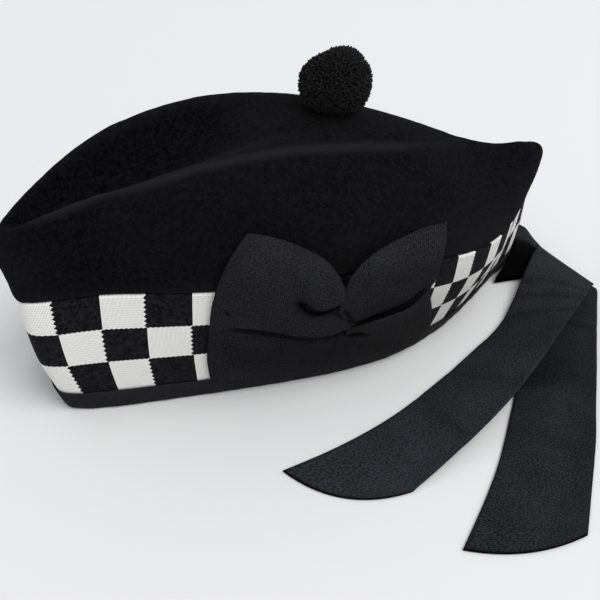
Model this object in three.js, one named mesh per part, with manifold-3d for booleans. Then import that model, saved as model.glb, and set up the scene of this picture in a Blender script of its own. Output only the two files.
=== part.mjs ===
// A diced glengarry resting on its rim: felt crown, knitted diced band, bound edge,
// pleated bow on the wearer's left, wool toorie and two ribbon tails laid beside it.
// Millimetres, +Z up. X runs from the front (-X) to the back (+X) and the bow is on -Y.

import * as THREE from 'three';
import { mergeVertices } from 'three/addons/utils/BufferGeometryUtils.js';
import Module from 'manifold-3d';

const wasm = await Module();
wasm.setup();

// Cloth thicknesses and clearances
const FELT = 2.6;
const FELT_PROUD = 0.6;
const KNIT = 2.2;
const RIBBON = 0.9;
const GAP = 0.3;

// Heights up the slanting wall: the bound edge, then rows of square checks
const BINDING = 13;
const CHECK = 20;
const CHECK_ROWS = 3;
const BAND_TOP = BINDING + CHECK * CHECK_ROWS;

// Fullness of the wall between its levels
const BELLY = 1.025;
const UPPER_BULGE = 0.07;
const TOP_FLATNESS = 0.75;

// The right side, with no bow to spread it, leans out less than the left
const RIGHT_LEAN = 0.12;

// Ribs of the cap from the front to the back. Each row holds the rim's place and half width
// on the table, the same for the top of the band, the ridge (place, left half width, right
// half width, height) and the middle of the crown (place, height).
const RIBS = [
  { rim: [-132.6, 0], band: [-141.2, 0], ridge: [-140.5, 0, 0, 98], top: [-131, 97] },
  { rim: [-132, 15.5], band: [-141.2, 16.5], ridge: [-137, 7, 5.5, 100], top: [-129, 97] },
  { rim: [-127.5, 23.3], band: [-136.5, 23.8], ridge: [-126, 10.5, 12, 105.5], top: [-122, 97.5] },
  { rim: [-107, 29.6], band: [-109, 30], ridge: [-105, 17.5, 20.5, 114.5], top: [-105, 99.5] },
  { rim: [-88, 33.4], band: [-88, 37.3], ridge: [-85, 24.2, 26, 121], top: [-85, 103] },
  { rim: [-60, 38.8], band: [-60, 46.6], ridge: [-57, 27.5, 27.5, 126], top: [-57, 110.5] },
  { rim: [-30, 44], band: [-30, 53.5], ridge: [-29, 28.5, 26.5, 126.5], top: [-29, 124] },
  { rim: [2, 48], band: [2, 58], ridge: [1, 27, 23.5, 121.5], top: [1, 126] },
  { rim: [33, 47.5], band: [34, 61], ridge: [31, 23, 16, 113], top: [31, 119.5] },
  { rim: [63, 39], band: [65, 61], ridge: [61, 16.5, 8, 102.5], top: [61, 105] },
  { rim: [88, 26], band: [92, 49], ridge: [87, 6, 2, 90.5], top: [87, 90.5] },
  { rim: [109, 13.5], band: [115, 28], ridge: [109, 2.5, 1.2, 81.5], top: [107, 81] },
  { rim: [124, 5.5], band: [131, 12], ridge: [125, 2, 1, 79], top: [118, 79.5] },
  { rim: [128.5, 0], band: [139, 0], ridge: [131, 0, 0, 77.5], top: [122, 78.5] },
];
const HALF_TURN = RIBS.length - 1;
const FULL_TURN = 2 * HALF_TURN;

// Levels of a rib, counted from the rim over the crown to the other rim
const LEVEL = { rim: 0, belly: 1, band: 2, upper: 3, ridge: 4, inner: 5, top: 6 };
const RIB_SPANS = 2 * LEVEL.top;
const SPLINE = ['catmullrom', 0.5];
const LEFT = -1;
const RIGHT = 1;

const mix = (a, b, t) => a + (b - a) * t;
const frac = (value) => value - Math.floor(value);
const vector = (values) => new THREE.Vector3(...values);

// One half rib's control points, from the rim up to the inner side of the ridge
function ribControls(row, side) {
  const { rim, top } = row;
  const [ridgeX, ridgeLeft, ridgeRight, ridgeZ] = row.ridge;
  const spread = side === LEFT ? 1 : RIGHT_LEAN;
  const ridgeHalf = side === LEFT ? ridgeLeft : ridgeRight;
  const band = [row.band[0], mix(rim[1], row.band[1], spread)];
  const bandZ = Math.sqrt(BAND_TOP ** 2 - (band[0] - rim[0]) ** 2 - (band[1] - rim[1]) ** 2);
  const inward = [ridgeX - band[0], ridgeHalf - band[1]];
  const lean = Math.hypot(...inward);
  const swell = (UPPER_BULGE * (ridgeZ - bandZ)) / lean;
  const upperX = mix(band[0], ridgeX, 0.5) - swell * inward[0];
  const upperY = mix(band[1], ridgeHalf, 0.5) - swell * inward[1];
  const upperZ = mix(bandZ, ridgeZ, 0.5) + UPPER_BULGE * lean;
  return [
    [rim[0], side * rim[1], 0],
    [BELLY * mix(rim[0], band[0], 0.5), side * BELLY * mix(rim[1], band[1], 0.5), bandZ / 2],
    [band[0], side * band[1], bandZ],
    [upperX, side * upperY, upperZ],
    [ridgeX, side * ridgeHalf, ridgeZ],
    [mix(ridgeX, top[0], 0.5), (side * ridgeHalf) / 2, mix(ridgeZ, top[1], TOP_FLATNESS)],
  ];
}

// A closed outline round the cap at one level, and the middle line of the crown
const leftControls = RIBS.map((row) => ribControls(row, LEFT));
const rightControls = RIBS.slice(1, -1).reverse().map((row) => ribControls(row, RIGHT));
const outlines = leftControls[0].map((_, level) => {
  const points = [...leftControls, ...rightControls].map((controls) => vector(controls[level]));
  return new THREE.CatmullRomCurve3(points, true, ...SPLINE);
});
const crest = RIBS.map(({ top }) => vector([top[0], 0, top[1]]));
const middle = new THREE.CatmullRomCurve3(crest, false, ...SPLINE);

// The outer face of the wall and crown: turn goes round the cap, level climbs a rib
const ribCache = new Map();
function rib(turn) {
  const key = turn.toFixed(5);
  if (!ribCache.has(key)) {
    const here = outlines.map((outline) => outline.getPoint(frac(turn / FULL_TURN)));
    const across = outlines.map((outline) => outline.getPoint(frac(-turn / FULL_TURN)));
    const folded = FULL_TURN * frac(turn / FULL_TURN);
    const summit = middle.getPoint(Math.min(folded, FULL_TURN - folded) / HALF_TURN);
    const points = [...here, summit, ...across.reverse()];
    ribCache.set(key, new THREE.CatmullRomCurve3(points, false, ...SPLINE));
  }
  return ribCache.get(key);
}
const capPoint = (turn, level) => rib(turn).getPoint(level / RIB_SPANS);

// The level on a rib where the wall reaches a height
function levelAtHeight(turn, z) {
  let low = LEVEL.rim;
  let high = LEVEL.ridge;
  for (let step = 0; step < 30; step += 1) {
    const half = (low + high) / 2;
    if (capPoint(turn, half).z < z) low = half;
    else high = half;
  }
  return low;
}

// The wall's outward direction, level with the table
function outwardAt(turn, level) {
  const step = 0.01;
  const along = capPoint(turn + step, level).sub(capPoint(turn - step, level));
  return new THREE.Vector3(along.y, -along.x, 0).normalize();
}

// A grid of points, row by row, joined into triangles; wrapped grids close on themselves
function grid(rows, { wrapColumns = true, wrapRows = false } = {}) {
  const columns = rows[0].length;
  const lastRow = wrapRows ? rows.length : rows.length - 1;
  const lastColumn = wrapColumns ? columns : columns - 1;
  const triangles = [];
  for (let r = 0; r < lastRow; r += 1) {
    for (let c = 0; c < lastColumn; c += 1) {
      const [a, b] = [rows[r], rows[(r + 1) % rows.length]];
      const next = (c + 1) % columns;
      triangles.push([a[c], a[next], b[next]], [a[c], b[next], b[c]]);
    }
  }
  return triangles;
}

// Triangles as one closed surface with shared corners and its faces outward
function solid(triangles) {
  const corners = triangles.flat().flatMap((point) => point.toArray());
  const loose = new THREE.BufferGeometry();
  loose.setAttribute('position', new THREE.Float32BufferAttribute(corners, 3));
  const geometry = mergeVertices(loose, 1e-4);
  const index = geometry.index.array;
  const kept = [];
  for (let i = 0; i < index.length; i += 3) {
    const [a, b, c] = [index[i], index[i + 1], index[i + 2]];
    if (a !== b && b !== c && c !== a) kept.push(a, b, c);
  }
  const corner = (n) => new THREE.Vector3().fromBufferAttribute(geometry.attributes.position, kept[n]);
  let volume = 0;
  for (let i = 0; i < kept.length; i += 3) {
    volume += corner(i).dot(corner(i + 1).cross(corner(i + 2))) / 6;
  }
  if (volume < 0) {
    for (let i = 0; i < kept.length; i += 3) [kept[i], kept[i + 1]] = [kept[i + 1], kept[i]];
  }
  geometry.setIndex(kept);
  return geometry;
}

// Turns and levels at which the wall and the crown are sampled
const STEPS_PER_RIB = 3;
const TURNS = Array.from({ length: FULL_TURN * STEPS_PER_RIB }, (_, k) => k / STEPS_PER_RIB);
const CROWN_LEVELS = [2.012, 2.25, 2.6, 3, 3.35, 3.65, 3.85, 4, 4.15, 4.4, 4.8, 5.4, 6];

// Points of the felt's outer face with its own normals, moved in or out by a distance
const feltGrid = CROWN_LEVELS.map((level) => TURNS.map((turn) => capPoint(turn, level)));
const feltNormals = (() => {
  const geometry = solid(grid(feltGrid));
  geometry.computeVertexNormals();
  const at = new Map();
  const { position, normal } = geometry.attributes;
  const key = (point) => point.toArray().map((value) => value.toFixed(3)).join();
  for (let i = 0; i < position.count; i += 1) {
    const point = new THREE.Vector3().fromBufferAttribute(position, i);
    at.set(key(point), new THREE.Vector3().fromBufferAttribute(normal, i));
  }
  return feltGrid.map((row, r) => row.map((point) => {
    const direction = at.get(key(new THREE.Vector3(...new Float32Array(point.toArray())))).clone();
    direction.z *= Math.min(1, r / 3);
    return direction.normalize();
  }));
})();
const feltFace = (distance) => feltGrid.map((row, r) => row.map((point, c) => (
  point.clone().addScaledVector(feltNormals[r][c], distance)
)));

// Felt crown: outer and inner faces joined along the lower edge
function crownGeometry() {
  const outer = feltFace(FELT_PROUD);
  const inner = feltFace(FELT_PROUD - FELT);
  return solid([...grid(outer), ...grid([inner[0], outer[0]]), ...grid(inner.reverse())]);
}

// Turns that share out the length of the knit round the wall. The knit draws in toward the
// back, where its checks come out narrower than at the front.
const BACK_CHECK = 0.6;
const DRAWN_FROM = 0;
const DRAWN_TO = 70;
const LENGTH_STEPS = 600;
function knitTurns(level, count, startTurn) {
  const turns = [startTurn];
  const lengths = [0];
  for (let k = 1; k <= LENGTH_STEPS; k += 1) {
    turns.push(startTurn + (k * FULL_TURN) / LENGTH_STEPS);
    const [from, to] = [capPoint(turns[k - 1], level), capPoint(turns[k], level)];
    const drawn = mix(1, BACK_CHECK, THREE.MathUtils.smoothstep(to.x, DRAWN_FROM, DRAWN_TO));
    lengths.push(lengths[k - 1] + from.distanceTo(to) / drawn);
  }
  return Array.from({ length: count }, (_, n) => {
    const target = (n * lengths[LENGTH_STEPS]) / count;
    const k = lengths.findIndex((length) => length > target);
    const part = (target - lengths[k - 1]) / (lengths[k] - lengths[k - 1]);
    return mix(turns[k - 1], turns[k], part);
  });
}

// A point beside the wall: a height above the table and a distance outside the knitted face
function wallPoint(turn, z, distance) {
  const level = levelAtHeight(turn, z);
  const point = capPoint(turn, level).addScaledVector(outwardAt(turn, level), distance);
  point.z = z;
  return point;
}

// Columns of the band and its bound edge, a few to each check
const CHECKS_ROUND = 38;
const COLUMNS_PER_CHECK = 2;
const DICING_START_TURN = 4;
const BAND_TURNS = knitTurns(LEVEL.belly, COLUMNS_PER_CHECK * CHECKS_ROUND, DICING_START_TURN);

// Bound edge: one ribbon folded up round the foot of the band, outside and inside
function bindingGeometry() {
  const outer = GAP + RIBBON;
  const inner = -KNIT - outer;
  const round = RIBBON / 2;
  const profile = [
    [outer, BINDING], [outer, round], [outer - round, 0], [inner + round, 0], [inner, round],
    [inner, BINDING], [inner + RIBBON, BINDING], [inner + RIBBON, RIBBON],
    [GAP, RIBBON], [GAP, BINDING],
  ];
  const rows = profile.map(([distance, z]) => BAND_TURNS.map((turn) => wallPoint(turn, z, distance)));
  return solid(grid(rows, { wrapRows: true }));
}

// Diced band: its rows and columns fall on the edges of the checks
function bandRows() {
  const levels = [BAND_TURNS.map((turn) => levelAtHeight(turn, RIBBON + GAP))];
  for (let row = 0; row <= CHECK_ROWS; row += 1) {
    levels.push(BAND_TURNS.map(() => (LEVEL.band * (BINDING + row * CHECK)) / BAND_TOP));
  }
  const face = (distance) => levels.map((row) => row.map((level, c) => (
    capPoint(BAND_TURNS[c], level).addScaledVector(outwardAt(BAND_TURNS[c], level), distance)
  )));
  return { outer: face(0), inner: face(-KNIT) };
}
function bandGeometry() {
  const { outer, inner } = bandRows();
  return solid(grid([...outer, ...inner.reverse()], { wrapRows: true }));
}

// A thin body between two faces sampled on the same grid
function slab(front, back) {
  const edge = (rows) => [
    ...rows[0],
    ...rows.slice(1).map((row) => row.at(-1)),
    ...rows.at(-1).slice(0, -1).reverse(),
    ...rows.slice(1, -1).reverse().map((row) => row[0]),
  ];
  const open = { wrapColumns: false };
  const faces = [...grid(front, open), ...grid([...back].reverse(), open)];
  return solid([...faces, ...grid([edge(back), edge(front)])]);
}

// The place on the left of the wall at a distance along the cap and a height, lifted off it
function leftWallPoint(x, z, distance) {
  let low = 0;
  let high = HALF_TURN;
  for (let step = 0; step < 24; step += 1) {
    const half = (low + high) / 2;
    if (capPoint(half, levelAtHeight(half, z)).x < x) low = half;
    else high = half;
  }
  return wallPoint(low, z, distance);
}

// Bow: ribbon laid over the band and drawn in at the middle by a tuck that runs its whole
// length. Each row is a line up the bow, from the front end to the back end: its foot, its
// tuck and its top as [along, height], and how far the face stands off the wall at the foot,
// just under the tuck, just over the tuck and at the top.
const BOW_SEAT = 3 * GAP + RIBBON;
const BOW = [
  { foot: [-63.9, 13.5], tuck: [-63.8, 50.3], top: [-43.3, 101.6], lift: [2.8, 3, 3.2, 2.8] },
  { foot: [-52, 13.4], tuck: [-52.4, 53.4], top: [-37, 100.8], lift: [4, 4, 6, 3.6] },
  { foot: [-37.5, 12.6], tuck: [-39, 50.7], top: [-26.7, 97], lift: [4.4, 5, 8.5, 4.6] },
  { foot: [-21.5, 11.6], tuck: [-21.9, 43.8], top: [-15.9, 90.6], lift: [4.4, 5, 10.5, 6] },
  { foot: [-8.6, 10.7], tuck: [-7.4, 41.8], top: [-9.4, 83], lift: [4.2, 5, 11, 7.5] },
  { foot: [2.1, 10], tuck: [1.1, 45.7], top: [-3.3, 66], lift: [4, 6, 10, 9] },
  { foot: [12.6, 10.6], tuck: [10.9, 44], top: [3.2, 81.2], lift: [4.6, 9, 6.4, 6] },
  { foot: [25.6, 10.1], tuck: [22.4, 45.9], top: [16, 87.2], lift: [4.8, 9.4, 6, 5] },
  { foot: [40.9, 10.5], tuck: [33.5, 47.6], top: [32.4, 89], lift: [4, 6.6, 5, 3.8] },
  { foot: [51.3, 14.5], tuck: [41.2, 54], top: [49.7, 87.2], lift: [2.8, 3, 3, 2.8] },
];
const BOW_STEPS = 3;
const TUCK_STEP = 1.2;
function bowGeometry() {
  const column = (pick) => {
    const points = BOW.map((row) => vector([...pick(row)]));
    const curve = new THREE.CatmullRomCurve3(points, false, 'centripetal');
    return Array.from({ length: (BOW.length - 1) * BOW_STEPS + 1 }, (_, k) => (
      curve.getPoint(k / ((BOW.length - 1) * BOW_STEPS))
    ));
  };
  const between = (from, to, lifts, part) => (row) => [
    mix(row[from][0], row[to][0], part),
    mix(row[from][1], row[to][1], part) + (from === 'tuck' ? TUCK_STEP * (1 - part) : 0),
    mix(row.lift[lifts[0]], row.lift[lifts[1]], part),
  ];
  const lines = [
    ...[0, 0.5, 1].map((part) => column(between('foot', 'tuck', [0, 1], part))),
    ...[0, 0.3, 0.65, 1].map((part) => column(between('tuck', 'top', [2, 3], part))),
  ];
  const front = lines.map((line) => line.map(({ x, y, z }) => leftWallPoint(x, y, z)));
  const back = lines.map((line) => line.map(({ x, y }) => leftWallPoint(x, y, BOW_SEAT)));
  return slab(front, back);
}

// Tails: each is one ribbon from the foot of the back seam, out along the table, folded back
// over itself and laid toward the front. Rows run from the seam to the free end and hold the
// two selvedges, far and near; bulge rounds a cut end and arch raises the middle of a row.
const TAIL_UPPER = [
  { far: [137, 15, 7], near: [118.5, -13.6, 0.6], bulge: -6.5, arch: 8 },
  { far: [146.5, 14, 8], near: [136, -23.5, 0.6], bulge: -1.5 },
  { far: [152, 12.2, 1.6], near: [152, -37, 0.6] },
  { far: [155.8, 10.3, 1.2], near: [156, -40, 0.8] },
  { far: [158.3, 8.6, 2.6], near: [158.5, -44.5, 5] },
  { far: [154, 3.9, 6], near: [155.5, -47.6, 9] },
  { far: [139.4, -12.1, 8], near: [149, -52.5, 11] },
  { far: [125.6, -24.7, 7.5], near: [142.5, -57.5, 12.5] },
  { far: [111, -38.2, 4.5], near: [129.5, -66.5, 14.5] },
  { far: [94.5, -51.5, 2.6], near: [112, -78.5, 16.5] },
  { far: [73, -62.5, 2.4], near: [89, -94, 17.5] },
  { far: [53.3, -71.5, 2], near: [66, -107.5, 16.5] },
  { far: [35, -79, 1.6], near: [45.5, -116.5, 13] },
  { far: [18, -85.3, 1.2], near: [28, -122.3, 8.5] },
  { far: [-1, -90.4, 0.9], near: [13, -126.7, 4] },
  { far: [-23, -94.4, 0.7], near: [5.5, -128.6, 1.4], bulge: 5 },
  { far: [-47.8, -97, 0.6], near: [2.6, -129.6, 0.7], bulge: 9.3 },
];
const TAIL_LOWER = [
  { far: [137, 15, 9.6], near: [118.5, -13.6, 3.2], bulge: -6.5, arch: 8 },
  { far: [146, 13, 10.8], near: [136.5, -26, 3], bulge: -1.5 },
  { far: [150.3, 9, 5.8], near: [147, -45, 1.9] },
  { far: [152.3, 6, 3.4], near: [151.5, -50, 2.1] },
  { far: [153.6, 3, 3.2], near: [154, -54, 3.8] },
  { far: [151, 0, 4.4], near: [151.2, -58, 5.8] },
  { far: [137, -13, 6.5], near: [147.5, -63.3, 6.6] },
  { far: [119, -31.5, 4], near: [141, -72.8, 6] },
  { far: [103, -54.3, 1.6], near: [134.5, -82.1, 5] },
  { far: [89.3, -74.1, 0.8], near: [121, -101.7, 3] },
  { far: [77.1, -95.4, 0.7], near: [108.5, -119, 1.8] },
  { far: [63.5, -111.5, 0.7], near: [96.8, -135.6, 1] },
  { far: [46.4, -130.5, 0.6], near: [78.1, -158.8, 0.6] },
  { far: [30, -146, 0.6], near: [68, -171.2, 0.6], bulge: 3 },
  { far: [8.6, -164.3, 0.6], near: [62.5, -177.9, 0.6], bulge: 5 },
];
const TAIL_STEPS = 3;
const TAIL_COLUMNS = 4;
function tailGeometry(rows) {
  const steps = (rows.length - 1) * TAIL_STEPS;
  const columns = Array.from({ length: TAIL_COLUMNS + 1 }, (_, c) => {
    const part = c / TAIL_COLUMNS;
    const points = rows.map(({ far, near, bulge = 0, arch = 0 }) => {
      const across = vector(near).sub(vector(far));
      const onward = new THREE.Vector3(across.y, -across.x, 0).normalize();
      const round = 4 * part * (1 - part);
      const point = vector(far).addScaledVector(across, part).addScaledVector(onward, bulge * round);
      point.z += arch * round;
      return point;
    });
    const curve = new THREE.CatmullRomCurve3(points, false, 'centripetal');
    return Array.from({ length: steps + 1 }, (_, k) => curve.getPoint(k / steps));
  });
  const face = (side) => columns.map((column, c) => column.map((point, k) => {
    const along = column[Math.min(k + 1, steps)].clone().sub(column[Math.max(k - 1, 0)]);
    const [left, right] = [columns[Math.max(c - 1, 0)], columns[Math.min(c + 1, TAIL_COLUMNS)]];
    const normal = right[k].clone().sub(left[k]).cross(along).normalize();
    return point.clone().addScaledVector(normal, (side * RIBBON) / 2);
  }));
  return slab(face(1), face(-1));
}

// Toorie: a wool ball of pointed tufts fused to a round core and seated on the crown
const TOORIE = { x: 16.5, z: 137.2, core: 15.4, reach: 17.8, tufts: 110, tuftWidth: 3.4, tuftSides: 4 };
function manifoldOf(geometry) {
  const plain = new THREE.BufferGeometry();
  plain.setAttribute('position', geometry.attributes.position);
  plain.setIndex(geometry.index);
  const merged = mergeVertices(plain, 1e-4);
  return new wasm.Manifold(new wasm.Mesh({
    numProp: 3,
    vertProperties: new Float32Array(merged.attributes.position.array),
    triVerts: new Uint32Array(merged.index.array),
  }));
}
function geometryOf(manifold) {
  const mesh = manifold.getMesh();
  const geometry = new THREE.BufferGeometry();
  geometry.setAttribute('position', new THREE.BufferAttribute(new Float32Array(mesh.vertProperties), 3));
  geometry.setIndex(Array.from(mesh.triVerts));
  return geometry;
}
function toorieGeometry() {
  const { x, z, core, reach, tufts, tuftWidth, tuftSides } = TOORIE;
  let ball = manifoldOf(new THREE.IcosahedronGeometry(core, 2));
  const up = new THREE.Vector3(0, 1, 0);
  const goldenAngle = Math.PI * (3 - Math.sqrt(5));
  const length = 2 * (reach - core) + tuftWidth;
  for (let k = 0; k < tufts; k += 1) {
    const height = 1 - (2 * k + 1) / tufts;
    const radius = Math.sqrt(1 - height ** 2);
    const [cos, sin] = [Math.cos(k * goldenAngle), Math.sin(k * goldenAngle)];
    const direction = new THREE.Vector3(radius * cos, radius * sin, height);
    const tuft = new THREE.ConeGeometry(tuftWidth, length, tuftSides);
    tuft.applyQuaternion(new THREE.Quaternion().setFromUnitVectors(up, direction));
    tuft.translate(...direction.multiplyScalar(reach - length / 2).toArray());
    ball = ball.add(manifoldOf(tuft));
  }
  const under = feltFace(FELT_PROUD + GAP);
  const bottom = under[0].map((point) => new THREE.Vector3(point.x, point.y, 0));
  const middleFoot = [bottom.map(() => new THREE.Vector3())];
  const crownBody = manifoldOf(solid(grid([...middleFoot, bottom, ...under])));
  return geometryOf(ball.translate([x, 0, z]).subtract(crownBody));
}

const group = new THREE.Group();
function addPiece(name, geometry, color, roughness) {
  const material = new THREE.MeshStandardMaterial({ color, roughness, metalness: 0 });
  const mesh = new THREE.Mesh(geometry, material);
  mesh.name = name;
  group.add(mesh);
}

addPiece('crown', crownGeometry(), 0x121315, 0.95);
addPiece('diced_band', bandGeometry(), 0xd2d1cf, 0.9);
addPiece('edge_binding', bindingGeometry(), 0x16171b, 0.7);
addPiece('bow_ribbon', bowGeometry(), 0x1a1b1f, 0.75);
addPiece('toorie', toorieGeometry(), 0x0f1012, 1);
addPiece('tail_upper', tailGeometry(TAIL_UPPER), 0x27282d, 0.7);
addPiece('tail_lower', tailGeometry(TAIL_LOWER), 0x27282d, 0.7);

// The origin lies on the table under the middle of everything
const box = new THREE.Box3().setFromObject(group);
const centre = box.getCenter(new THREE.Vector3());
group.children.forEach((mesh) => mesh.geometry.translate(-centre.x, -centre.y, -box.min.z));

export default group;
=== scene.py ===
import math
import random

import bmesh
import bpy
import numpy as np
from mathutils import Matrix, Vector
from mathutils.bvhtree import BVHTree


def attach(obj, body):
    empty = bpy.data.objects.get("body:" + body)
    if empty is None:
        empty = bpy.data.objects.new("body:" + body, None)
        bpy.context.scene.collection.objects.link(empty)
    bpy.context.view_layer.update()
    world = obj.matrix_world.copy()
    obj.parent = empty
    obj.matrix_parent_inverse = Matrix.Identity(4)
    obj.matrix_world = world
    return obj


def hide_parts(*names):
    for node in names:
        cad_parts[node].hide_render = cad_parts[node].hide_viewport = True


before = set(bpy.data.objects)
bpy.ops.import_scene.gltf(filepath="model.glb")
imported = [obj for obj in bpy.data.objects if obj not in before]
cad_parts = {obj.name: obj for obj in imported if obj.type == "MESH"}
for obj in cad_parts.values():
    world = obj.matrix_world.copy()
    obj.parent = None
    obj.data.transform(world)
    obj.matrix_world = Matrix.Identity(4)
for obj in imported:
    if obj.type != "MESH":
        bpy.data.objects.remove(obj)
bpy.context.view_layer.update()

# Camera, table and light
# The cap stands on a pale painted table and is seen from its left, from well above. A broad
# soft light hangs high over the viewer's right, and the pale room fills the shadows.
MM = 0.001
CAMERA_PLACE = (-0.143288, -0.273589, 0.33676)
CAMERA_DOWN = math.radians(42)
CAMERA_TURN = math.radians(-21.802)
CAMERA_LENS = 54
CAMERA_SENSOR = 36
LIGHT_PLACE = (1.1, -1.7, 3.7)
LIGHT_AIM = (0, 0.03, 0.06)
LIGHT_ACROSS = 3.0
LIGHT_WATTS = 125
ROOM_COLOUR = (0.97, 0.98, 1.0, 1)
ROOM_STRENGTH = 0.9
TABLE_ACROSS = 12
TABLE_HEIGHT = -0.3 * MM
TABLE_COLOUR = (0.61, 0.61, 0.61, 1)
TABLE_ROUGHNESS = 0.9
TABLE_GLOSS = 0.1

scene = bpy.context.scene
scene.view_settings.view_transform = "Standard"
bpy.ops.object.select_all(action="DESELECT")
camera_angles = (math.pi / 2 - CAMERA_DOWN, 0, CAMERA_TURN)
bpy.ops.object.camera_add(location=CAMERA_PLACE, rotation=camera_angles)
camera = bpy.context.object
camera.name = "camera"
camera.data.sensor_width = CAMERA_SENSOR
camera.data.lens = CAMERA_LENS
scene.camera = camera

shining = (Vector(LIGHT_AIM) - Vector(LIGHT_PLACE)).to_track_quat("-Z", "Y")
bpy.ops.object.light_add(type="AREA", location=LIGHT_PLACE, rotation=shining.to_euler())
light = bpy.context.object
light.name = "key_light"
light.data.shape = "DISK"
light.data.size = LIGHT_ACROSS
light.data.energy = LIGHT_WATTS
room = scene.world or bpy.data.worlds.new("room")
scene.world = room
room.use_nodes = True
room_light = room.node_tree.nodes["Background"]
room_light.inputs["Color"].default_value = ROOM_COLOUR
room_light.inputs["Strength"].default_value = ROOM_STRENGTH

bpy.ops.mesh.primitive_plane_add(size=TABLE_ACROSS, location=(0, 0, TABLE_HEIGHT))
floor = bpy.context.object
floor.name = "table"
bpy.ops.object.transform_apply()
table_paint = bpy.data.materials.new("table_paint")
table_paint.use_nodes = True
table_shader = table_paint.node_tree.nodes["Principled BSDF"]
table_shader.inputs["Base Color"].default_value = TABLE_COLOUR
table_shader.inputs["Roughness"].default_value = TABLE_ROUGHNESS
table_shader.inputs["Specular IOR Level"].default_value = TABLE_GLOSS
floor.data.materials.append(table_paint)

# Crown
# Black wool felt, knitted large, milled until it is thick and close, and pressed on a block
# so that its top sinks between two ridges. One piece, with a cut edge above the dicing.
BACK_SINK = 4.2 * MM
BACK_LIFT = 1.4 * MM
FRONT_SWELL = 3.4 * MM
SWELL_AT_EDGE = 0.4
# Where each of these starts and where it is full, in mm
BACK_START, BACK_END, BACK_ABOVE = (78, 92), (112, 127), (71, 78)
LIFT_START, LIFT_END, SINK_START = (50, 58), (63, 66), (64, 69)
SWELL_FORWARD, SWELL_ABOVE, SWELL_END = (110, 140), (74, 88), (88, 102)
# Name, size and height of the felt's lumps
FELT_LUMPS = (("felt_swell", 30 * MM, 1.0 * MM), ("felt_pile", 5 * MM, 0.35 * MM))
# The ridge on the left, which carries a painted highlight, in mm from the front to the back
RIDGE_LINE = [
    (-142.2, 54.1, 101.4), (-135.9, 54.7, 105.1), (-120.2, 48.2, 112.1), (-106.1, 44.6, 117.4),
    (-92.9, 39.1, 121.6), (-78.7, 36.6, 124.1), (-64.5, 35.8, 126.5), (-50.3, 34.8, 127.1),
    (-35.1, 34.6, 126.6), (-19.7, 35.4, 124.7), (-3.6, 36.4, 121.1), (25, 40.5, 112.8),
    (53.1, 47.1, 102.5), (79, 57.5, 91),
]
RIDGE_WIDTH = 2.8 * MM
RIDGE_HIGHLIGHT = 0.85
RIDGE_FRONT, RIDGE_BACK = (0, 0.15), (0.8, 1)
RIDGE_FADE = 0.8
CREST_LIGHTENING = 0.5
CREST_PASSES = 12
HAIR_SCALE = 1400.0
PATCH_SCALE = 480.0
FELT_DEEP = (0.0005, 0.0005, 0.0006, 1)
FELT_TIPS = (0.0047, 0.0048, 0.0054, 1)
FELT_CREST_AND_HIGHLIGHT = (0.0115, 0.0115, 0.0125, 1)
FELT_SHEEN = (0.8, 0.82, 0.9, 1)


def copy_of_solid(name, solid):
    """A new piece that starts as a solid's own mesh, with its corners joined and its faces in quads."""
    piece = bpy.data.objects.new(name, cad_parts[solid].data.copy())
    scene.collection.objects.link(piece)
    piece.data.materials.clear()
    bpy.ops.object.select_all(action="DESELECT")
    piece.select_set(True)
    bpy.context.view_layer.objects.active = piece
    bpy.ops.object.mode_set(mode="EDIT")
    bpy.ops.mesh.select_all(action="SELECT")
    bpy.ops.mesh.remove_doubles(threshold=0.00001)
    bpy.ops.mesh.tris_convert_to_quads(face_threshold=math.pi, shape_threshold=math.pi)
    bpy.ops.object.mode_set(mode="OBJECT")
    return piece


def use_modifier(piece, kind, **settings):
    bpy.context.view_layer.objects.active = piece
    modifier = piece.modifiers.new(kind.lower(), kind)
    for key, value in settings.items():
        setattr(modifier, key, value)
    bpy.ops.object.modifier_apply(modifier=modifier.name)


def rise(values, start, end):
    """Goes smoothly from 0 at start to 1 at end."""
    part = np.clip((values - start) / (end - start), 0, 1)
    return part * part * (3 - 2 * part)


crown = copy_of_solid("crown_felt", "crown")
places = np.empty(len(crown.data.vertices) * 3)
crown.data.vertices.foreach_get("co", places)
places = places.reshape(-1, 3)
x, y, z = (places / MM).T
back_end = rise(x, *BACK_START) * (1 - rise(x, *BACK_END)) * rise(z, *BACK_ABOVE)
lift = BACK_LIFT * rise(y, *LIFT_START) * (1 - rise(y, *LIFT_END))
places[:, 2] += back_end * (lift - BACK_SINK * rise(y, *SINK_START))
swell = SWELL_AT_EDGE + (1 - SWELL_AT_EDGE) * rise(z, *SWELL_ABOVE)
places[:, 0] -= FRONT_SWELL * rise(-x, *SWELL_FORWARD) * swell * (1 - rise(z, *SWELL_END))
crown.data.vertices.foreach_set("co", places.ravel())
use_modifier(crown, "SUBSURF", levels=2, render_levels=2)
for name, size, height in FELT_LUMPS:
    lumps = bpy.data.textures.new(name, "CLOUDS")
    lumps.noise_scale = size
    lumps.noise_depth = 2
    use_modifier(crown, "DISPLACE", texture=lumps, strength=height, mid_level=0.5)
bpy.ops.object.shade_smooth()


def near_line(places, line):
    """How far each place is from a line through points, and how far along the line, from 0 to 1."""
    best = np.full(len(places), np.inf)
    along = np.zeros(len(places))
    for index, (start, end) in enumerate(zip(line, line[1:])):
        step = end - start
        part = np.clip(((places - start) @ step) / (step @ step), 0, 1)
        away = np.linalg.norm(places - start - part[:, None] * step, axis=1)
        along = np.where(away < best, (index + part) / (len(line) - 1), along)
        best = np.minimum(best, away)
    return best, along


def mark(piece, name, values):
    """Keeps a value for each point of a piece, for its material to read."""
    kept = piece.data.attributes.new(name, "FLOAT", "POINT")
    kept.data.foreach_set("value", values.ravel().astype(np.float32))


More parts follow.
